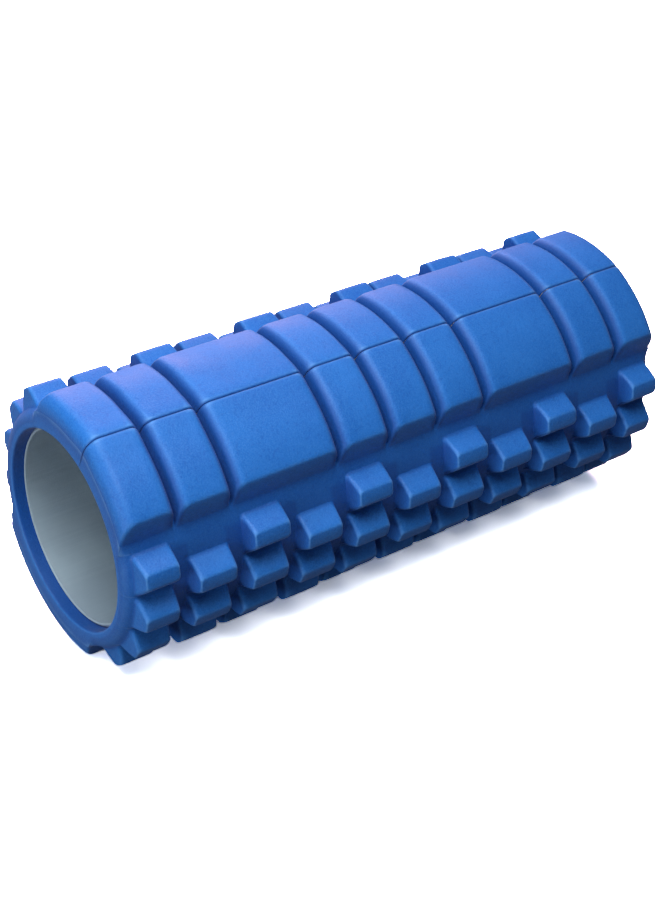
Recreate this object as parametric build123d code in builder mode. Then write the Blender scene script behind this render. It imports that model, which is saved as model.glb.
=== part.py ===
"""Textured foam roller: a hollow plastic core with a moulded foam tread sheet bonded round it.

The roller's axis is the X axis and the origin is the middle of the roller. The sheet's two edges meet in a
straight seam along the roller. Angles round the roller are in degrees from that seam, towards the front
(-Y) and down. The tread repeats every half turn: a zone of ribs centred on the seam, then a zone of small
blocks, then both again.
"""

import os
from math import cos, radians, sin

from build123d import *

# Whole roller, in millimetres
LENGTH = 330.0  # foam, end face to end face
COLUMNS = 11  # columns of tread along the roller
COLUMN_PITCH = 30.4  # the first and last columns are cut a little shorter by the end faces
TREAD_RADIUS = 70.0  # tops of the ribs and blocks
FLOOR_RADIUS = 60.4  # floor between them
SEAM_TILT = 26.9  # the seam's own angle from the top of the roller

# Core tube and the glue
CORE_OUTER_RADIUS = 50.7
CORE_WALL = 2.0
CORE_RECESS = 6.0  # from the foam's end face in to the tube's end
CORE_END_CHAMFER = 1.1
CORE_MOUTH_ROUND = 0.5
GLUE_FILM = 0.2
GLUE_SETBACK = 3.0  # the film stops short of the tube's ends
SEAM_GLUE_WIDTH = 0.3
SEAM_GLUE_SINK = 0.8  # the seam glue stays this far below the foam's surface
BOND_GAP = 0.02  # left between neighbouring pieces so that none overlap
BORE_LIP_ROUND = 1.2  # rounded lip of the foam at each end of its bore
FLOOR_END_ROUND = 6.0  # rounded edge where the floor between the blocks meets an end face

# Ribs: the columns that each one spans, and the two kinds of side that a rib can have. A side is a list of
# (distance in from the column's edge, drop below the rib's top), from the floor up.
RIB_COLUMNS = ((0, 1), (1, 2), (2, 4), (4, 5), (5, 6), (6, 7), (7, 9), (9, 10), (10, 11))
GROOVE_SIDE = ((0.6, TREAD_RADIUS - FLOOR_RADIUS), (1.2, 5.0), (2.1, 2.3), (4.8, 0.0))
END_SIDE = ((0.0, TREAD_RADIUS - FLOOR_RADIUS), (0.4, 6.3), (1.6, 3.2), (3.9, 0.9), (6.6, 0.0))
RIB_ROOT = 7.0  # how far a rib is sunk into the floor, deep enough to fill the rounded edge at the end faces
RIB_HALF_SWEEP = 35.0  # half the arc covered by a rib's top
RIB_END_RUN = 7.8  # the arc over which a rib's end slopes down to the floor

# Small blocks, in staggered rows placed evenly about the middle of each block zone
ZONE_MIDDLE = 90.0
ROW_PITCH = 21.2  # degrees
ODD_ROWS = 4
EVEN_ROWS = 3
BLOCK_TOP_WIDTH = 20.0  # along the roller
BLOCK_FOOT_WIDTH = 21.8
BLOCK_TOP_LENGTH = 8.4  # round the roller
BLOCK_FOOT_LENGTH = 21.8
BLOCK_CORNER = 2.0
BLOCK_ROOT = 1.6  # how far a block's foot is sunk below the floor, where the floor curves away

FOAM_BORE_RADIUS = CORE_OUTER_RADIUS + GLUE_FILM


def outward(angle):
    """Unit vector out from the axis, at an angle from the seam."""
    turn = radians(SEAM_TILT + angle)
    return Vector(0, -sin(turn), cos(turn))


def section_plane(angle):
    """Plane through the axis, with its X along the roller and its Y pointing outwards."""
    return Plane(origin=(0, 0, 0), x_dir=(1, 0, 0), z_dir=Vector(1, 0, 0).cross(outward(angle)))


def facing_plane(angle, radius, along):
    """Plane that faces outwards at a place on the tread."""
    origin = outward(angle) * radius + Vector(along, 0, 0)
    return Plane(origin=origin, x_dir=(1, 0, 0), z_dir=outward(angle))


def rib_end_plane(side):
    """Sloping plane at one end of the ribs, facing away from them."""
    top = outward(side * RIB_HALF_SWEEP) * TREAD_RADIUS
    foot = outward(side * (RIB_HALF_SWEEP + RIB_END_RUN)) * FLOOR_RADIUS
    slope = (foot - top).normalized()
    return Plane(origin=top, x_dir=slope, z_dir=slope.cross(Vector(1, 0, 0)) * side)


def column_edge(number):
    """Place along the roller of the line between two columns, or of an end face."""
    place = (number - COLUMNS / 2) * COLUMN_PITCH
    return max(-LENGTH / 2, min(LENGTH / 2, place))


def rib_outline(first_column, last_column, sink):
    """Corners of a rib's side profile, with its surface lowered by the sink."""
    left_side = END_SIDE if first_column == 0 else GROOVE_SIDE
    right_side = END_SIDE if last_column == COLUMNS else GROOVE_SIDE
    left = column_edge(first_column)
    right = column_edge(last_column)
    rising = [(left + inset, TREAD_RADIUS - drop - sink) for inset, drop in left_side]
    falling = [(right - inset, TREAD_RADIUS - drop - sink) for inset, drop in reversed(right_side)]
    root = FLOOR_RADIUS - RIB_ROOT - sink
    return [(rising[0][0], root), *rising, *falling, (falling[-1][0], root)]


def block_locations(columns):
    """Places of the small blocks in the given columns, in both block zones."""
    places = []
    for zone in (0, 180):
        for column in columns:
            rows = ODD_ROWS if column % 2 == 0 else EVEN_ROWS
            middle = (column_edge(column) + column_edge(column + 1)) / 2
            for row in range(rows):
                angle = zone + ZONE_MIDDLE + (row - (rows - 1) / 2) * ROW_PITCH
                places.append(facing_plane(angle, FLOOR_RADIUS - BLOCK_ROOT, middle).location)
    return places


def make_block(cut):
    """One small block standing on the XY plane, narrower along the roller by the cut."""
    with BuildPart() as block:
        with BuildSketch():
            RectangleRounded(BLOCK_FOOT_WIDTH - cut, BLOCK_FOOT_LENGTH, BLOCK_CORNER)
        with BuildSketch(Plane.XY.offset(TREAD_RADIUS - FLOOR_RADIUS + BLOCK_ROOT)):
            RectangleRounded(BLOCK_TOP_WIDTH - cut, BLOCK_TOP_LENGTH, BLOCK_CORNER)
        loft()
    return block.part


os.makedirs("parts", exist_ok=True)

# Core tube: its ends are chamfered outside and eased inside
with BuildPart() as core_tube:
    with BuildSketch(Plane.YZ.offset(CORE_RECESS - LENGTH / 2)):
        Circle(CORE_OUTER_RADIUS)
        Circle(CORE_OUTER_RADIUS - CORE_WALL, mode=Mode.SUBTRACT)
    extrude(amount=LENGTH - 2 * CORE_RECESS)
    rims = core_tube.edges().filter_by(GeomType.CIRCLE).group_by(lambda edge: edge.radius)
    chamfer(rims[-1], CORE_END_CHAMFER)
    rims = core_tube.edges().filter_by(GeomType.CIRCLE).group_by(lambda edge: edge.radius)
    fillet(rims[0], CORE_MOUTH_ROUND)
core_tube.part.label = "core_tube"

# Film of glue between the tube and the foam
film_half_length = LENGTH / 2 - CORE_RECESS - GLUE_SETBACK
with BuildPart() as core_adhesive:
    with BuildSketch(Plane.YZ.offset(-film_half_length)):
        Circle(FOAM_BORE_RADIUS - BOND_GAP)
        Circle(CORE_OUTER_RADIUS + BOND_GAP, mode=Mode.SUBTRACT)
    extrude(amount=2 * film_half_length)
core_adhesive.part.label = "core_adhesive"

# One zone of ribs, spun from their side profile and cut to sloping ends
with BuildPart() as rib_zone:
    with BuildSketch(section_plane(-RIB_HALF_SWEEP - RIB_END_RUN)):
        for first_column, last_column in RIB_COLUMNS:
            with BuildLine():
                Polyline(*rib_outline(first_column, last_column, 0), close=True)
            make_face()
    revolve(axis=Axis.X, revolution_arc=2 * (RIB_HALF_SWEEP + RIB_END_RUN))
    for side in (-1, 1):
        split(bisect_by=rib_end_plane(side), keep=Keep.BOTTOM)

# Foam tread sheet, wrapped into a sleeve whose two edges almost meet at the seam
end_cut = COLUMNS * COLUMN_PITCH / 2 - LENGTH / 2
seam_slit_width = SEAM_GLUE_WIDTH + 2 * BOND_GAP
with BuildPart() as foam_tread:
    with BuildSketch(Plane.YZ.offset(-LENGTH / 2)):
        Circle(FLOOR_RADIUS)
        Circle(FOAM_BORE_RADIUS, mode=Mode.SUBTRACT)
    extrude(amount=LENGTH)
    rims = foam_tread.edges().filter_by(GeomType.CIRCLE).group_by(lambda edge: edge.radius)
    fillet(rims[0], BORE_LIP_ROUND)
    rims = foam_tread.edges().filter_by(GeomType.CIRCLE).group_by(lambda edge: edge.radius)
    fillet(rims[-1], FLOOR_END_ROUND)
    add(rib_zone.part)
    add(rib_zone.part, rotation=(180, 0, 0))
    with Locations(*block_locations(range(1, COLUMNS - 1))):
        add(make_block(0))
    with Locations(*block_locations((0, COLUMNS - 1))):
        add(make_block(end_cut))
    with BuildSketch(section_plane(0)):
        with Locations((0, TREAD_RADIUS)):
            Rectangle(LENGTH + 2, 2 * (TREAD_RADIUS - CORE_OUTER_RADIUS) + 2)
    extrude(amount=seam_slit_width / 2, both=True, mode=Mode.SUBTRACT)
foam_tread.part.label = "foam_tread"

# Glue in the seam, filling it to just below the surface of the ribs and grooves
with BuildPart() as seam_adhesive:
    with BuildSketch(section_plane(0)):
        glue_bottom = FOAM_BORE_RADIUS + BOND_GAP
        glue_top = FLOOR_RADIUS - SEAM_GLUE_SINK
        with Locations((0, (glue_bottom + glue_top) / 2)):
            Rectangle(LENGTH - 2 * GLUE_SETBACK, glue_top - glue_bottom)
        for first_column, last_column in RIB_COLUMNS:
            with BuildLine():
                Polyline(*rib_outline(first_column, last_column, SEAM_GLUE_SINK), close=True)
            make_face()
        with Locations((0, TREAD_RADIUS)):
            Rectangle(LENGTH - 2 * GLUE_SETBACK, 2 * (TREAD_RADIUS - CORE_OUTER_RADIUS), mode=Mode.INTERSECT)
    extrude(amount=SEAM_GLUE_WIDTH / 2, both=True)
seam_adhesive.part.label = "seam_adhesive"

for piece in (core_tube, core_adhesive, foam_tread, seam_adhesive):
    export_step(piece.part, f"parts/{piece.part.label}.step")
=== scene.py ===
"""Looks for the textured foam roller: a shaped foam skin, materials, floor, light and camera.

They are built round the roller's CAD frame.

Roller coordinates are used while the foam is built: millimetres along the roller, degrees round it from the
foam's seam, and millimetres out from its axis. Everything else is in metres.
"""

import math

import bmesh
import bpy
import numpy as np
from mathutils import Matrix, Vector


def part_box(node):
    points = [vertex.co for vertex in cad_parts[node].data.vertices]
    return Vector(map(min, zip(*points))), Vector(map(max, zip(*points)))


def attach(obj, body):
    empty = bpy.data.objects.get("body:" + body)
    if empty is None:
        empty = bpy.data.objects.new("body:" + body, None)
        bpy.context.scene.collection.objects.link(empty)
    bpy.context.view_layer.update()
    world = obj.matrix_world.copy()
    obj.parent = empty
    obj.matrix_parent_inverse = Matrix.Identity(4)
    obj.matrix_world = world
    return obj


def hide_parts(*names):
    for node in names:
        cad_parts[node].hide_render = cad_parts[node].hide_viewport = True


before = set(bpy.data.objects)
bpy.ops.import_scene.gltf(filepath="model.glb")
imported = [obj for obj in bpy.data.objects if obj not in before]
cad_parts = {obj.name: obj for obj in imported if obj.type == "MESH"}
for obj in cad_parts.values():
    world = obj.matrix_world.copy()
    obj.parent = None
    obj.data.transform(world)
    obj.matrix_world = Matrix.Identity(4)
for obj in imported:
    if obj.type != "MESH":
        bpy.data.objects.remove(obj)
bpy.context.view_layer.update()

MM = 0.001

# Sizes read from the CAD frame, in millimetres and degrees
GLUE_GAP = 0.02  # between the film of glue and the foam
foam_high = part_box("foam_tread")[1]
film_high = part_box("core_adhesive")[1]
glue_low, glue_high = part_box("seam_adhesive")
HALF_LENGTH = foam_high.x / MM
TREAD_RADIUS = foam_high.z / MM
BORE_RADIUS = film_high.z / MM + GLUE_GAP
SEAM_TILT = math.degrees(math.atan2(-glue_low.y, glue_high.z))

# Tread layout, as in the CAD model: two zones of ribs and two of small blocks take turns round the roller
ZONES = (0, 180)  # where each rib zone's middle is, in degrees from the seam
COLUMNS = 11
COLUMN_PITCH = 30.4
FLOOR_DROP = 9.6
FLOOR_RADIUS = TREAD_RADIUS - FLOOR_DROP
RIB_COLUMNS = ((0, 1), (1, 2), (2, 4), (4, 5), (5, 6), (6, 7), (7, 9), (9, 10), (10, 11))
RIB_ZONE_HALF = 46.2
ROW_PITCH = 21.2
ODD_ROWS = 4
EVEN_ROWS = 3
ZONE_MIDDLE = 90.0
SLIT_HALF_WIDTH = 0.17

# How bright the floor is to the camera, in reflections and as a source of bounced light
FLOOR_SEEN = 7.5
FLOOR_MIRRORED = 0.22
FLOOR_BOUNCE = 0.14
# Distances from the roller's middle between which the floor fades to plain white for the camera
FLOOR_FADE = (0.5, 1.1)
FLOOR_HALF = 6.0  # half the floor's length and width
FLOOR_GAP = 0.0002  # between the roller's lowest ribs and the floor

# Where a colour mix node has its share, its two colours and its result
MIX_SHARE, MIX_FIRST, MIX_SECOND, MIX_RESULT = 0, 6, 7, 2

SHORTEST_EDGE = 1e-9  # metres; shorter edges count as this long
SHARP_ANGLE = 50  # degrees; edges that turn by more look sharp

# Camera: angles in degrees, distance in metres, lens and sensor in millimetres, and shifts as shares of the
# sensor's width
CAMERA_AZIMUTH = -36.46
CAMERA_ELEVATION = 29.48
CAMERA_DISTANCE = 0.8935
LENS = 68.28
SENSOR_WIDTH = 36
SHIFT_X = -0.01378889
SHIFT_Y = -0.02302222

# Colours of the foam, mottled between the first two, of the places on it that differ, and of its sheen
FOAM_DARK = (0.007, 0.122, 0.475, 1)
FOAM_LIGHT = (0.010, 0.146, 0.53, 1)
FOAM_GRAIN = (0.046, 0.22, 0.63, 1)
FOAM_SPECKLE = (0.004, 0.09, 0.40, 1)
# Painted highlight along the convex edges, with some light rubbing
FOAM_EDGE_HIGHLIGHT = (0.15, 0.40, 0.82, 1)
# Painted shade in the hollows, where concave creases darken
FOAM_HOLLOW_SHADE = (0.002, 0.045, 0.34, 1)
# Painted shade on the groove walls, block sides, floor and bore
FOAM_RECESS_SHADE = (0.002, 0.042, 0.26, 1)
FOAM_CUT = (0.003, 0.03, 0.16, 1)
FOAM_SHEEN = (0.75, 0.72, 1.0, 1)

# How much the foam takes of four of those colours (painted edge highlight, painted shade of hollows and
# recesses, dark seam), and how much it bends where an edge or a hollow starts to show and where it shows
# fully
EDGE_HIGHLIGHT_SHARE = 0.75
HOLLOW_SHADE_SHARE = 0.5
RECESS_SHADE_SHARE = 0.62
CUT_SHARE = 0.5
EDGE_HIGHLIGHT_BEND = (0.03, 0.18)
HOLLOW_SHADE_BEND = (-0.015, -0.18)

# Colours of the tube and of the glue, clouded between the first two
TUBE_DARK = (0.33, 0.43, 0.51, 1)
TUBE_LIGHT = (0.38, 0.50, 0.58, 1)
TUBE_LINES = (0.46, 0.57, 0.64, 1)
GLUE_DARK = (0.36, 0.30, 0.16, 1)
GLUE_LIGHT = (0.50, 0.44, 0.27, 1)

WHITE = (1, 1, 1, 1)
SURROUNDINGS = (0.06, 0.074, 0.096, 1)  # dim bluish light from all round

# Lights: name, place, point aimed at, width, watts and colour
LIGHTS = (
    ("key", (-0.14, -0.24, 1.12), (0, 0, 0), 1.25, 9.0, (1, 1, 1)),
    ("near_left", (-0.24, -0.15, 0.54), (-0.15, 0, 0), 0.4, 2.4, (1, 1, 1)),
    ("back_rim", (0.34, 1.0, 0.6), (-0.06, 0, 0), 0.8, 12.5, (1, 0.66, 0.80)),
    ("left_fill", (-1.4, -0.34, 0.15), (-0.165, 0, 0), 0.45, 7.2, (1, 1, 1)),
)

# Grid of the skin, with angles in degrees
CELLS_ACROSS = 16  # in a column, along the roller
CELLS_ROUND = 16  # in a row of blocks, round the roller
CORNER_STEPS = 3  # at each corner of a raised shape
SAME_ANGLE = 1e-6  # angles closer than this are the same
SLIT_ANGLE = 0.14  # the grid lines that become the two sides of the slit
SEAM_LINES = (SLIT_ANGLE, 0.32, 0.6, 1.1, 2.0)
RIB_LINE_STEP = 1.75
RIB_FIXED_HALF = 28.0  # the lines this near to a rib zone's middle stay straight
RIB_END_LINES = (30.0, 32.0, 34.0, 36.0, 38.5, 41.0, 43.0, 44.6)

# Levels of a rib, from its foot up: drop below the top, inset from a groove's middle, inset from an end
# face, inset in degrees from the end of the rib zone, corner radius
RIB_LEVELS = (
    (9.60, 0.45, 0.04, 2.8, 1.6),
    (9.35, 0.58, 0.06, 3.4, 1.6),
    (8.60, 0.70, 0.10, 4.4, 1.6),
    (6.80, 0.92, 0.25, 5.9, 1.6),
    (5.20, 1.15, 0.60, 7.2, 1.6),
    (4.40, 1.30, 0.90, 7.8, 1.6),
    (3.70, 1.48, 1.25, 8.4, 1.6),
    (3.00, 1.74, 1.70, 9.0, 1.7),
    (2.20, 2.18, 2.35, 9.6, 1.8),
    (1.40, 2.88, 3.10, 10.3, 1.8),
    (0.75, 3.75, 3.95, 10.9, 1.8),
    (0.32, 4.70, 4.90, 11.4, 1.8),
    (0.08, 5.80, 6.00, 12.0, 1.8),
    (0.00, 7.20, 7.40, 13.0, 1.6),
)

# Levels of a small block: drop, inset from the cell's sides, inset in degrees from the cell's ends, corner
# radius
BLOCK_LEVELS = (
    (9.60, 3.50, 0.12, 2.2),
    (9.45, 3.85, 0.40, 2.2),
    (9.00, 4.15, 0.95, 2.1),
    (8.00, 4.37, 1.70, 2.0),
    (6.00, 4.57, 3.07, 2.0),
    (4.00, 4.77, 4.45, 2.0),
    (2.20, 4.96, 5.69, 2.0),
    (1.20, 5.08, 6.40, 2.0),
    (0.65, 5.20, 6.86, 2.0),
    (0.28, 5.40, 7.30, 1.9),
    (0.08, 5.75, 7.75, 1.7),
    (0.00, 6.30, 8.30, 1.3),
)
BLOCK_CROWN = 0.12  # how far the middle of a block's top stands above its rim
# Rings on the floor round a block's foot, as shares of the way in from the cell's border
FLOOR_RINGS = (0.15, 0.35, 0.6, 0.82)

# End faces: the rounded edge where the floor between the blocks meets them, the radius out to which they
# stay flat, the radii of the rings on them, the rounded lip of the bore, and the rings inside the bore as
# distances from an end face. In the first and last columns the grid lines are crowded towards the end face.
END_ROUND = 6.0
END_FLAT_RADIUS = 53.0
END_RING_RADII = (FLOOR_RADIUS, 58.6, 56.0, END_FLAT_RADIUS)
BORE_LIP_ROUND = 1.2
BORE_LIP_STEPS = 5
BORE_RINGS = (3.0, 6.0, 12.0, 30.0, 70.0, 120.0, HALF_LENGTH)
END_CROWDING = 1.5

# Unevenness of the glued foam: the ridge along the seam, the rounded edges of its cut, and two slow waves.
# The first wave sways on its way round the roller, and the second winds round it.
RIDGE_HEIGHT = 0.25
RIDGE_EXTRA_HEIGHT = 1.5  # added towards the left end
RIDGE_HALF_ANGLE = 7.0
CUT_ROUNDING = 0.5
CUT_ROUNDING_REACH = 0.45
WAVE_HEIGHTS = (0.10, 0.08)
WAVE_LENGTHS = (23, 41)  # along the roller, for each radian of a wave
WAVE_TURNS = 5
SWAY = 1.3
SWAY_TURNS = 2
SWAY_START = 0.5

# How far the shade of the seam's cut reaches, and the bands in degrees over which the end faces' rounding
# and the colours change between rib zones and block zones
CUT_SHADE_REACH = 0.55
END_ROUND_BAND = 6.0
ZONE_BAND = 4.0

# The painted shade on the walls of the grooves and sides of the blocks: how far it reaches from a groove's
# or gap's middle, and over what width it fades. The floor has a share of the same painted shade, from a drop
# below the tread's top, and the bore has all of it, within a radius.
GROOVE_REACH = 4.8
GROOVE_FADE = 2.1
BLOCK_SIDE_REACH = 5.6
BLOCK_SIDE_FADE = 1.0
FLOOR_SHARE = 0.6
FLOOR_SHADE_DROP = 8.0
FLOOR_SHADE_FADE = 1.2
BORE_SHADE_RADIUS = BORE_RADIUS + 0.7
BORE_SHADE_FADE = 0.6


def column_edge(number):
    """Place along the roller of the line between two columns, or of an end face."""
    place = (number - COLUMNS / 2) * COLUMN_PITCH
    return max(-HALF_LENGTH, min(HALF_LENGTH, place))


class FoamMesh:
    """Points and faces of the foam in roller coordinates, welded where points coincide."""

    def __init__(self):
        self.numbers = {}
        self.points = []
        self.faces = []

    def vertex(self, point):
        """The number of a point, which is added if it is new."""
        along, angle, radius = point
        key = (round(along, 3), round(angle % 360, 4) % 360, round(radius, 3))
        if key not in self.numbers:
            self.numbers[key] = len(self.points)
            self.points.append((along, angle, radius))
        return self.numbers[key]

    def face(self, *points):
        """A face through the points, left out if fewer than three of them differ."""
        corners = []
        for point in points:
            number = self.vertex(point)
            if number not in corners:
                corners.append(number)
        if len(corners) > 2:
            self.faces.append(corners)

    def grid(self, rows):
        """Faces between neighbouring rows of points, leaving the seam's slit open."""
        for upper, lower in zip(rows, rows[1:]):
            for spot in range(len(upper) - 1):
                corners = (upper[spot], upper[spot + 1], lower[spot + 1], lower[spot])
                if not in_slit(corners):
                    self.face(*corners)


def in_slit(corners):
    """Whether a face bridges the slit at the seam."""
    angles = [(corner[1] + 180) % 360 - 180 for corner in corners]
    return max(angles) <= SLIT_ANGLE + SAME_ANGLE and min(angles) >= -SLIT_ANGLE - SAME_ANGLE


def stretched(lines, low, high, fixed_low, fixed_high):
    """Lines moved so that the first and last straight ones reach low and high.

    Those between fixed_low and fixed_high stay where they are.
    """
    first = lines[CORNER_STEPS]
    last = lines[-1 - CORNER_STEPS]
    moved = []
    for line in lines:
        if line < fixed_low:
            line = fixed_low + (line - fixed_low) * (low - fixed_low) / (first - fixed_low)
        elif line > fixed_high:
            line = fixed_high + (line - fixed_high) * (high - fixed_high) / (last - fixed_high)
        moved.append(line)
    return moved


def level_loop(across, around, insets, corner, drop, fixed):
    """One closed ring of a raised shape: a rounded rectangle in plan, at one drop below the tread's top."""
    left, right, near, far = insets
    radius = TREAD_RADIUS - drop
    corner_turn = math.degrees(corner / radius)
    low_x, high_x = across[0] + left, across[-1] - right
    low_a, high_a = around[0] + near, around[-1] - far
    middle_x = (low_x + high_x) / 2
    lines_x = stretched(across, low_x + corner, high_x - corner, middle_x, middle_x)
    lines_a = stretched(around, low_a + corner_turn, high_a - corner_turn, *fixed)
    last_x, last_a = len(across) - 1, len(around) - 1
    loop = []
    for i, j in loop_spots(last_x, last_a):
        step_x, step_a = min(i, last_x - i), min(j, last_a - j)
        side_x = -1 if i * 2 < last_x else 1
        side_a = -1 if j * 2 < last_a else 1
        if step_x < CORNER_STEPS and step_a < CORNER_STEPS:
            turn = math.radians(45 * (1 + (step_x - step_a) / CORNER_STEPS))
            edge_x = low_x if side_x < 0 else high_x
            edge_a = low_a if side_a < 0 else high_a
            along = edge_x - side_x * corner * (1 - math.cos(turn))
            angle = edge_a - side_a * corner_turn * (1 - math.sin(turn))
        else:
            along = (low_x, lines_x[i], high_x)[(0 < i) + (i == last_x)]
            angle = (low_a, lines_a[j], high_a)[(0 < j) + (j == last_a)]
        loop.append((along, angle, radius))
    return loop


def loop_spots(last_x, last_a):
    """Grid spots round the border of a patch, in order."""
    spots = [(i, 0) for i in range(last_x)]
    spots += [(last_x, j) for j in range(last_a)]
    spots += [(i, last_a) for i in range(last_x, 0, -1)]
    spots += [(0, j) for j in range(last_a, 0, -1)]
    return spots


def raised_shape(mesh, across, around, levels, fixed, crown):
    """A rib, pad or block in its cell of the tread: rings from the cell's border up to a filled top."""
    last_x, last_a = len(across) - 1, len(around) - 1
    spots = loop_spots(last_x, last_a)
    loops = [[(across[i], around[j], FLOOR_RADIUS) for i, j in spots]]
    for drop, insets, corner in levels:
        loops.append(level_loop(across, around, insets, corner, drop, fixed))
    mesh.grid([loop + loop[:1] for loop in loops])
    rim = dict(zip(spots, loops[-1]))
    rows = []
    for j in range(last_a + 1):
        v = j / last_a
        row = []
        for i in range(last_x + 1):
            if (i, j) in rim:
                row.append(rim[(i, j)])
                continue
            u = i / last_x
            rise = crown * (1 - (2 * u - 1) ** 2) * (1 - (2 * v - 1) ** 2)
            row.append((rim[(i, 0)][0], rim[(0, j)][1], TREAD_RADIUS + rise))
        rows.append(row)
    mesh.grid(rows)


def even_lines(low, high, count):
    """Evenly spaced lines from low to high."""
    return [low + (high - low) * step / count for step in range(count + 1)]


def rib_lines():
    """Angles of the grid lines across a rib zone, measured from its middle, closer together at the seam."""
    half = list(SEAM_LINES)
    middle_steps = round((RIB_FIXED_HALF - SEAM_LINES[-1]) / RIB_LINE_STEP)
    half += even_lines(SEAM_LINES[-1], RIB_FIXED_HALF, middle_steps)[1:]
    half += list(RIB_END_LINES) + [RIB_ZONE_HALF]
    return [-angle for angle in reversed(half)] + half


def block_lines():
    """Angles of the grid lines across a block zone, measured from the seam."""
    low = ZONE_MIDDLE - ODD_ROWS / 2 * ROW_PITCH
    high = ZONE_MIDDLE + ODD_ROWS / 2 * ROW_PITCH
    lines = even_lines(low, high, ODD_ROWS * CELLS_ROUND)
    return [RIB_ZONE_HALF] + lines + [180 - RIB_ZONE_HALF]


def column_lines(first, last):
    """Grid lines along the roller across one or more columns, crowded towards the roller's ends."""
    lines = []
    for column in range(first, last):
        low, high = column_edge(column), column_edge(column + 1)
        shares = even_lines(0.0, 1.0, CELLS_ACROSS)
        if column == 0:
            shares = [share**END_CROWDING for share in shares]
        elif column == COLUMNS - 1:
            shares = [1 - (1 - share) ** END_CROWDING for share in shares]
        lines += [low + (high - low) * share for share in shares[:-1]]
    return lines + [column_edge(last)]


def add_ribs(mesh, zone):
    """The ribs and pads of one rib zone."""
    around = [zone + angle for angle in rib_lines()]
    fixed = (zone - RIB_FIXED_HALF, zone + RIB_FIXED_HALF)
    for first, last in RIB_COLUMNS:
        levels = []
        for drop, groove_inset, end_inset, run, corner in RIB_LEVELS:
            left = end_inset if first == 0 else groove_inset
            right = end_inset if last == COLUMNS else groove_inset
            levels.append((drop, (left, right, run, run), corner))
        raised_shape(mesh, column_lines(first, last), around, levels, fixed, 0.0)


def add_blocks(mesh, zone):
    """The small blocks of one block zone and the plain floor at its two edges."""
    lines = block_lines()
    for column in range(COLUMNS):
        rows = ODD_ROWS if column % 2 == 0 else EVEN_ROWS
        across = column_lines(column, column + 1)
        skipped = (ODD_ROWS - rows) * CELLS_ROUND // 2
        first = 1 + skipped
        last = first + rows * CELLS_ROUND
        for start, stop in ((0, first), (last, len(lines) - 1)):
            strip = [[(x, zone + line, FLOOR_RADIUS) for x in across] for line in lines[start : stop + 1]]
            mesh.grid(strip)
        for row in range(rows):
            start = first + row * CELLS_ROUND
            around = [zone + line for line in lines[start : start + CELLS_ROUND + 1]]
            middle = (around[0] + around[-1]) / 2
            levels = [(drop, (side, side, run, run), corner) for drop, side, run, corner in BLOCK_LEVELS]
            foot, (side, _, run, _), corner = levels[0]
            rings = [(foot, (side * k, side * k, run * k, run * k), corner * k) for k in FLOOR_RINGS]
            raised_shape(mesh, across, around, rings + levels, (middle, middle), BLOCK_CROWN)


def add_ends_and_bore(mesh):
    """The two flat end rings, the rounded lips and the bore."""
    around = rib_lines()[:1]
    for zone in ZONES:
        around += [zone + angle for angle in rib_lines()[1:] + block_lines()[1:]]
    section = [(0.0, radius) for radius in END_RING_RADII]
    for step in range(BORE_LIP_STEPS + 1):
        turn = math.radians(90 * step / BORE_LIP_STEPS)
        inset = BORE_LIP_ROUND * (1 - math.cos(turn))
        section.append((inset, BORE_RADIUS + BORE_LIP_ROUND * (1 - math.sin(turn))))
    section += [(inset, BORE_RADIUS) for inset in BORE_RINGS]
    for side in (-1, 1):
        rows = []
        for inset, radius in section:
            rows.append([(side * (HALF_LENGTH - inset), angle, radius) for angle in around])
        mesh.grid(rows)


def nearest(values, marks):
    """Distance from each value to the nearest of the marks."""
    return np.abs(values[:, None] - np.array(marks)).min(axis=1)


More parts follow.
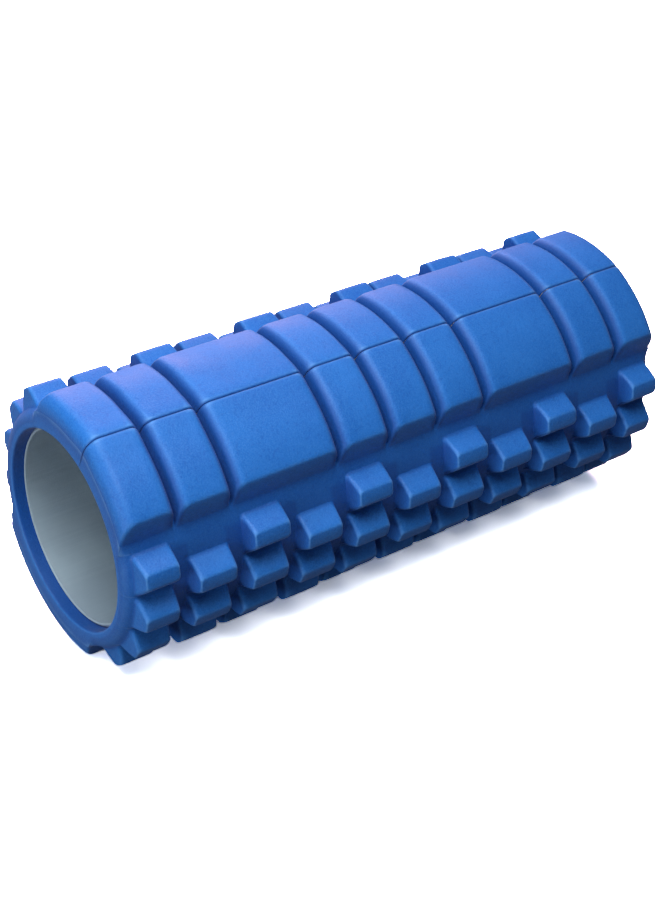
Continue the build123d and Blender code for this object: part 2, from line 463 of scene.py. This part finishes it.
def shaped(points):
    """Roller coordinates turned into metres, with the small unevenness of real glued and moulded foam.

    Also gives two numbers from 0 to 1 for each point: how near it is to the seam's cut, and how much painted
    shade it has on the grooves' walls, blocks' sides, floor and bore.
    """
    along, angle, radius = np.array(points, float).T
    turn = (angle + 180) % 360 - 180
    drop = TREAD_RADIUS - radius
    # 0 at the bore and 1 from the floor outwards
    depth = np.clip((radius - BORE_RADIUS) / (FLOOR_RADIUS - BORE_RADIUS), 0, 1)
    depth = depth * depth * (3 - 2 * depth)
    # The sheet's stiff edges stand up a little where they meet, most of all at one end
    left_share = np.clip(0.5 - along / (2 * HALF_LENGTH), 0, 1)
    ridge = (RIDGE_HEIGHT + RIDGE_EXTRA_HEIGHT * left_share**2) * np.exp(-((turn / RIDGE_HALF_ANGLE) ** 2))
    # Rounded edges of the cut
    from_slit = np.maximum(np.abs(turn) - SLIT_ANGLE, 0) * math.radians(1) * radius
    rounding = CUT_ROUNDING * np.exp(-((from_slit / CUT_ROUNDING_REACH) ** 2))
    sway = SWAY * np.sin(np.radians(turn) * SWAY_TURNS + SWAY_START)
    wave = WAVE_HEIGHTS[0] * np.sin(along / WAVE_LENGTHS[0] + sway)
    wave += WAVE_HEIGHTS[1] * np.sin(np.radians(turn) * WAVE_TURNS + along / WAVE_LENGTHS[1])
    radius = radius + depth * (ridge - rounding + wave)
    # Rounded outer edge of the end faces, in the block zones only
    from_rib_middle = 90 - np.abs(90 - np.abs(turn))
    rounded = np.clip((from_rib_middle - RIB_ZONE_HALF + END_ROUND_BAND / 2) / END_ROUND_BAND, 0, 1)
    share = np.clip((radius - END_FLAT_RADIUS) / (FLOOR_RADIUS - END_FLAT_RADIUS), 0, 1)
    from_start = np.clip(END_ROUND - (HALF_LENGTH - np.abs(along)), 0, END_ROUND)
    radius = radius - rounded * share * (END_ROUND - np.sqrt(END_ROUND**2 - from_start**2))
    near_seam = depth * np.exp(-((from_slit / CUT_SHADE_REACH) ** 2))
    # Painted shade on the walls of the grooves between ribs, the sides of the blocks, the floor and the bore
    grooves = [column_edge(last) for _, last in RIB_COLUMNS[:-1]]
    gaps = [column_edge(number) for number in range(1, COLUMNS)]
    groove_wall = np.clip((GROOVE_REACH - nearest(along, grooves)) / GROOVE_FADE, 0, 1)
    block_side = np.clip((BLOCK_SIDE_REACH - nearest(along, gaps)) / BLOCK_SIDE_FADE, 0, 1)
    in_rib_zone = np.clip((RIB_ZONE_HALF - ZONE_BAND / 2 - from_rib_middle) / ZONE_BAND, 0, 1)
    in_block_zone = np.clip((from_rib_middle - RIB_ZONE_HALF - ZONE_BAND / 2) / ZONE_BAND, 0, 1)
    on_floor = FLOOR_SHARE * np.clip((drop - FLOOR_SHADE_DROP) / FLOOR_SHADE_FADE, 0, 1)
    in_bore = np.clip((BORE_SHADE_RADIUS - radius) / BORE_SHADE_FADE, 0, 1)
    walls = np.maximum(groove_wall * in_rib_zone, block_side * in_block_zone)
    recess_shade = np.maximum(depth * np.maximum(walls, on_floor), in_bore)
    # The edges of the slit stay parallel from the bore to the surface
    slit_edge = np.abs(np.abs(turn) - SLIT_ANGLE) < SAME_ANGLE
    slit_turn = np.degrees(np.arcsin(SLIT_HALF_WIDTH / radius)) * np.sign(turn)
    turn = np.where(slit_edge, slit_turn, turn)
    real = np.radians(SEAM_TILT + turn)
    places = np.stack([along, -np.sin(real) * radius, np.cos(real) * radius], axis=1) * MM
    return places, {"near_seam": near_seam, "recess_shade": recess_shade}


def store_bend(data):
    """Stores at each point how far the surface bulges (above 0) or is hollow (below 0), a little evened."""
    places = np.empty(len(data.vertices) * 3)
    normals = np.empty(len(data.vertices) * 3)
    ends = np.empty(len(data.edges) * 2, dtype=np.int32)
    data.vertices.foreach_get("co", places)
    data.vertex_normals.foreach_get("vector", normals)
    data.edges.foreach_get("vertices", ends)
    places, normals = places.reshape(-1, 3), normals.reshape(-1, 3)
    first, second = ends.reshape(-1, 2).T
    step = places[second] - places[first]
    step /= np.maximum(np.linalg.norm(step, axis=1), SHORTEST_EDGE)[:, None]
    neighbours = np.bincount(ends, minlength=len(places))
    bend = np.zeros(len(places))
    np.add.at(bend, first, -(normals[first] * step).sum(axis=1))
    np.add.at(bend, second, (normals[second] * step).sum(axis=1))
    bend /= np.maximum(neighbours, 1)
    evened = bend.copy()
    np.add.at(evened, first, bend[second])
    np.add.at(evened, second, bend[first])
    data.attributes.new("bend", "FLOAT", "POINT").data.foreach_set("value", evened / (neighbours + 1))


def make_foam():
    """The foam as one closed mesh object."""
    mesh = FoamMesh()
    for zone in ZONES:
        add_ribs(mesh, zone)
        add_blocks(mesh, zone)
    add_ends_and_bore(mesh)
    data = bpy.data.meshes.new("foam_tread_skin")
    places, shares = shaped(mesh.points)
    data.from_pydata(places.tolist(), [], mesh.faces)
    for name, values in shares.items():
        data.attributes.new(name, "FLOAT", "POINT").data.foreach_set("value", values)
    work = bmesh.new()
    work.from_mesh(data)
    open_edges = [edge for edge in work.edges if len(edge.link_faces) == 1]
    bmesh.ops.holes_fill(work, edges=open_edges, sides=0)
    bmesh.ops.recalc_face_normals(work, faces=work.faces)
    work.to_mesh(data)
    work.free()
    data.shade_smooth()
    data.set_sharp_from_angle(angle=math.radians(SHARP_ANGLE))
    store_bend(data)
    foam = bpy.data.objects.new("foam_tread_skin", data)
    bpy.context.scene.collection.objects.link(foam)
    return foam


class Nodes:
    """A small helper that builds a node material."""

    def __init__(self, name):
        self.material = bpy.data.materials.new(name)
        self.material.use_nodes = True
        self.tree = self.material.node_tree
        self.tree.nodes.clear()
        self.shader = self.add("ShaderNodeBsdfPrincipled")
        output = self.add("ShaderNodeOutputMaterial")
        self.link(self.shader.outputs["BSDF"], output.inputs["Surface"])

    def add(self, kind, **values):
        """A node, with its sockets set to values or linked to other nodes' outputs."""
        node = self.tree.nodes.new(kind)
        for key, value in values.items():
            self.put(node.inputs[key], value)
        return node

    def put(self, socket, value):
        """Sets a socket to a value or links it to an output."""
        if isinstance(value, bpy.types.NodeSocket):
            self.link(value, socket)
        else:
            socket.default_value = value

    def link(self, source, target):
        self.tree.links.new(source, target)

    def place(self, scale):
        """Object coordinates stretched by a scale per axis."""
        where = self.add("ShaderNodeTexCoord").outputs["Object"]
        return self.add("ShaderNodeMapping", Vector=where, Scale=scale).outputs["Vector"]

    def stored(self, name):
        """A number stored at the mesh's points."""
        node = self.add("ShaderNodeAttribute")
        node.attribute_name = name
        return node.outputs["Fac"]

    def noise(self, vector, scale, detail=2.0, roughness=0.5):
        """Cloudy noise about 0.5, finer with a larger scale."""
        node = self.add("ShaderNodeTexNoise", Vector=vector, Scale=scale)
        node.inputs["Detail"].default_value = detail
        node.inputs["Roughness"].default_value = roughness
        return node.outputs["Fac"]

    def ramp(self, value, low, high, out_low=0.0, out_high=1.0):
        """A smooth step from out_low to out_high as the value goes from low to high."""
        node = self.add("ShaderNodeMapRange", Value=value)
        node.interpolation_type = "SMOOTHSTEP"
        ends = {"From Min": low, "From Max": high, "To Min": out_low, "To Max": out_high}
        for key, number in ends.items():
            node.inputs[key].default_value = number
        return node.outputs["Result"]

    def mix(self, share, first, second):
        """A colour that goes from the first to the second as the share goes from 0 to 1."""
        node = self.add("ShaderNodeMix")
        node.data_type = "RGBA"
        self.put(node.inputs[MIX_SHARE], share)
        self.put(node.inputs[MIX_FIRST], first)
        self.put(node.inputs[MIX_SECOND], second)
        return node.outputs[MIX_RESULT]

    def maths(self, operation, first, second):
        node = self.add("ShaderNodeMath")
        node.operation = operation
        self.put(node.inputs[0], first)
        self.put(node.inputs[1], second)
        return node.outputs["Value"]

    def bump(self, height, distance, strength, normal=None):
        node = self.add("ShaderNodeBump", Height=height, Distance=distance, Strength=strength)
        if normal is not None:
            self.link(normal, node.inputs["Normal"])
        return node.outputs["Normal"]


def foam_material():
    """Blue moulded EVA foam: matt skin, fine grain, faint mottling, edges paler with painted highlight and
    rubbing, painted shade in hollows and recesses, and a soft sheen.
    """
    kit = Nodes("eva_foam")
    where = kit.place((1, 1, 1))
    mottle = kit.noise(where, 45.0, 3.0)
    grain = kit.noise(where, 1400.0, 2.0, 0.6)
    speckle = kit.noise(where, 520.0, 3.0, 0.6)
    pores = kit.add("ShaderNodeTexVoronoi", Vector=where, Scale=900.0).outputs["Distance"]
    seam = kit.stored("near_seam")
    away_from_seam = kit.maths("SUBTRACT", 1.0, seam)
    # Painted highlight on the convex edges, kept off the seam
    edge = kit.maths("MULTIPLY", kit.ramp(kit.stored("bend"), *EDGE_HIGHLIGHT_BEND), away_from_seam)
    # Painted shade in the hollows
    hollow = kit.ramp(kit.stored("bend"), *HOLLOW_SHADE_BEND)
    base = kit.mix(kit.ramp(mottle, 0.3, 0.7), FOAM_DARK, FOAM_LIGHT)
    base = kit.mix(kit.ramp(grain, 0.35, 0.7, 0.0, 0.4), base, FOAM_GRAIN)
    base = kit.mix(kit.ramp(speckle, 0.52, 0.68, 0.0, 0.35), base, FOAM_SPECKLE)
    base = kit.mix(kit.maths("MULTIPLY", edge, EDGE_HIGHLIGHT_SHARE), base, FOAM_EDGE_HIGHLIGHT)
    base = kit.mix(kit.maths("MULTIPLY", hollow, HOLLOW_SHADE_SHARE), base, FOAM_HOLLOW_SHADE)
    # Painted shade on the groove walls, block sides, the floor and the bore
    base = kit.mix(kit.maths("MULTIPLY", kit.stored("recess_shade"), RECESS_SHADE_SHARE), base, FOAM_RECESS_SHADE)
    base = kit.mix(kit.maths("MULTIPLY", seam, CUT_SHARE), base, FOAM_CUT)
    kit.put(kit.shader.inputs["Base Color"], base)
    kit.put(kit.shader.inputs["Roughness"], kit.ramp(mottle, 0.25, 0.75, 0.50, 0.62))
    kit.put(kit.shader.inputs["Specular IOR Level"], 0.33)
    kit.put(kit.shader.inputs["Sheen Weight"], 0.10)
    kit.put(kit.shader.inputs["Sheen Roughness"], 0.45)
    kit.put(kit.shader.inputs["Sheen Tint"], FOAM_SHEEN)
    skin = kit.bump(grain, 0.0003, 0.45)
    skin = kit.bump(pores, 0.00025, 0.25, skin)
    kit.put(kit.shader.inputs["Normal"], kit.bump(kit.noise(where, 220.0, 2.0), 0.0008, 0.12, skin))
    return kit.material


def tube_material():
    """Grey-green extruded plastic with drawing lines along the tube and light scuffs."""
    kit = Nodes("core_plastic")
    lines = kit.noise(kit.place((0.5, 700, 700)), 1.0, 3.0)
    cloud = kit.noise(kit.place((1, 1, 1)), 28.0, 3.0)
    base = kit.mix(kit.ramp(cloud, 0.3, 0.7), TUBE_DARK, TUBE_LIGHT)
    base = kit.mix(kit.ramp(lines, 0.4, 0.7, 0.0, 0.12), base, TUBE_LINES)
    kit.put(kit.shader.inputs["Base Color"], base)
    kit.put(kit.shader.inputs["Roughness"], kit.ramp(cloud, 0.25, 0.75, 0.42, 0.56))
    kit.put(kit.shader.inputs["Normal"], kit.bump(lines, 0.0004, 0.12))
    return kit.material


def adhesive_material():
    """Dried amber contact adhesive, uneven and slightly glossy."""
    kit = Nodes("adhesive")
    where = kit.place((1, 1, 1))
    blobs = kit.noise(where, 300.0, 3.0)
    base = kit.mix(kit.ramp(blobs, 0.35, 0.65), GLUE_DARK, GLUE_LIGHT)
    kit.put(kit.shader.inputs["Base Color"], base)
    kit.put(kit.shader.inputs["Roughness"], kit.ramp(blobs, 0.3, 0.7, 0.25, 0.45))
    kit.put(kit.shader.inputs["Normal"], kit.bump(blobs, 0.0005, 0.4))
    return kit.material


def floor_material():
    """Plain pale studio floor.

    The camera sees it bright, fading to plain white far away. It throws back less light on to the roller.
    """
    kit = Nodes("studio_floor")
    path = kit.add("ShaderNodeLightPath").outputs
    seen = path["Is Camera Ray"]
    level = kit.ramp(path["Is Glossy Ray"], 0.0, 1.0, FLOOR_BOUNCE, FLOOR_MIRRORED)
    level = kit.maths("ADD", level, kit.maths("MULTIPLY", seen, FLOOR_SEEN - FLOOR_BOUNCE))
    color = kit.add("ShaderNodeCombineColor", Red=level, Green=level, Blue=level).outputs["Color"]
    kit.put(kit.shader.inputs["Base Color"], color)
    kit.put(kit.shader.inputs["Emission Color"], WHITE)
    away = kit.add("ShaderNodeVectorMath", Vector=kit.add("ShaderNodeTexCoord").outputs["Object"])
    away.operation = "LENGTH"
    far = kit.ramp(away.outputs["Value"], *FLOOR_FADE)
    kit.put(kit.shader.inputs["Emission Strength"], kit.maths("MULTIPLY", seen, far))
    kit.put(kit.shader.inputs["Roughness"], 0.9)
    kit.put(kit.shader.inputs["Specular IOR Level"], 0.0)
    return kit.material


def finish_node(name, material):
    """Gives a CAD node its material."""
    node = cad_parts[name]
    node.data.materials.clear()
    node.data.materials.append(material)
    for polygon in node.data.polygons:
        polygon.material_index = 0


def make_floor(height):
    """A wide plain floor that the roller rests on."""
    data = bpy.data.meshes.new("studio_floor")
    corners = [(x * FLOOR_HALF, y * FLOOR_HALF, height) for x, y in ((-1, -1), (1, -1), (1, 1), (-1, 1))]
    data.from_pydata(corners, [], [(0, 1, 2, 3)])
    data.materials.append(floor_material())
    floor = bpy.data.objects.new("studio_floor", data)
    bpy.context.scene.collection.objects.link(floor)


def make_light(name, place, aim, size, watts, color):
    """A soft square light aimed at a point."""
    data = bpy.data.lights.new(name, "AREA")
    data.shape = "SQUARE"
    data.size = size
    data.energy = watts
    data.color = color
    light = bpy.data.objects.new(name, data)
    bpy.context.scene.collection.objects.link(light)
    light.location = place
    light.rotation_euler = (Vector(aim) - Vector(place)).to_track_quat("-Z", "Y").to_euler()


def make_world(color):
    """Even surroundings: light of the given colour, but plain white where the camera sees them."""
    world = bpy.data.worlds.new("studio")
    world.use_nodes = True
    tree = world.node_tree
    mix = tree.nodes.new("ShaderNodeMix")
    mix.data_type = "RGBA"
    mix.inputs[MIX_FIRST].default_value = color
    mix.inputs[MIX_SECOND].default_value = WHITE
    seen = tree.nodes.new("ShaderNodeLightPath").outputs["Is Camera Ray"]
    tree.links.new(seen, mix.inputs[MIX_SHARE])
    tree.links.new(mix.outputs[MIX_RESULT], tree.nodes["Background"].inputs["Color"])
    bpy.context.scene.world = world


def make_camera():
    """A camera to the front left of the roller, looking down at it."""
    azimuth, elevation = math.radians(CAMERA_AZIMUTH), math.radians(CAMERA_ELEVATION)
    back = Vector((
        math.sin(azimuth) * math.cos(elevation),
        -math.cos(azimuth) * math.cos(elevation),
        math.sin(elevation),
    ))
    right = Vector((0, 0, 1)).cross(back).normalized()
    up = back.cross(right)
    data = bpy.data.cameras.new("camera")
    data.sensor_width = SENSOR_WIDTH
    data.lens = LENS
    data.shift_x = SHIFT_X
    data.shift_y = SHIFT_Y
    camera = bpy.data.objects.new("camera", data)
    bpy.context.scene.collection.objects.link(camera)
    matrix = Matrix((right, up, back)).transposed().to_4x4()
    matrix.translation = back * CAMERA_DISTANCE
    camera.matrix_world = matrix
    bpy.context.scene.camera = camera


foam = make_foam()
foam.data.materials.append(foam_material())
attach(foam, "root")
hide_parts("foam_tread")

finish_node("core_tube", tube_material())
glue = adhesive_material()
finish_node("core_adhesive", glue)
finish_node("seam_adhesive", glue)

make_floor(-TREAD_RADIUS * MM - FLOOR_GAP)
make_world(SURROUNDINGS)
for light in LIGHTS:
    make_light(*light)
make_camera()
bpy.context.scene.view_settings.view_transform = "Standard"
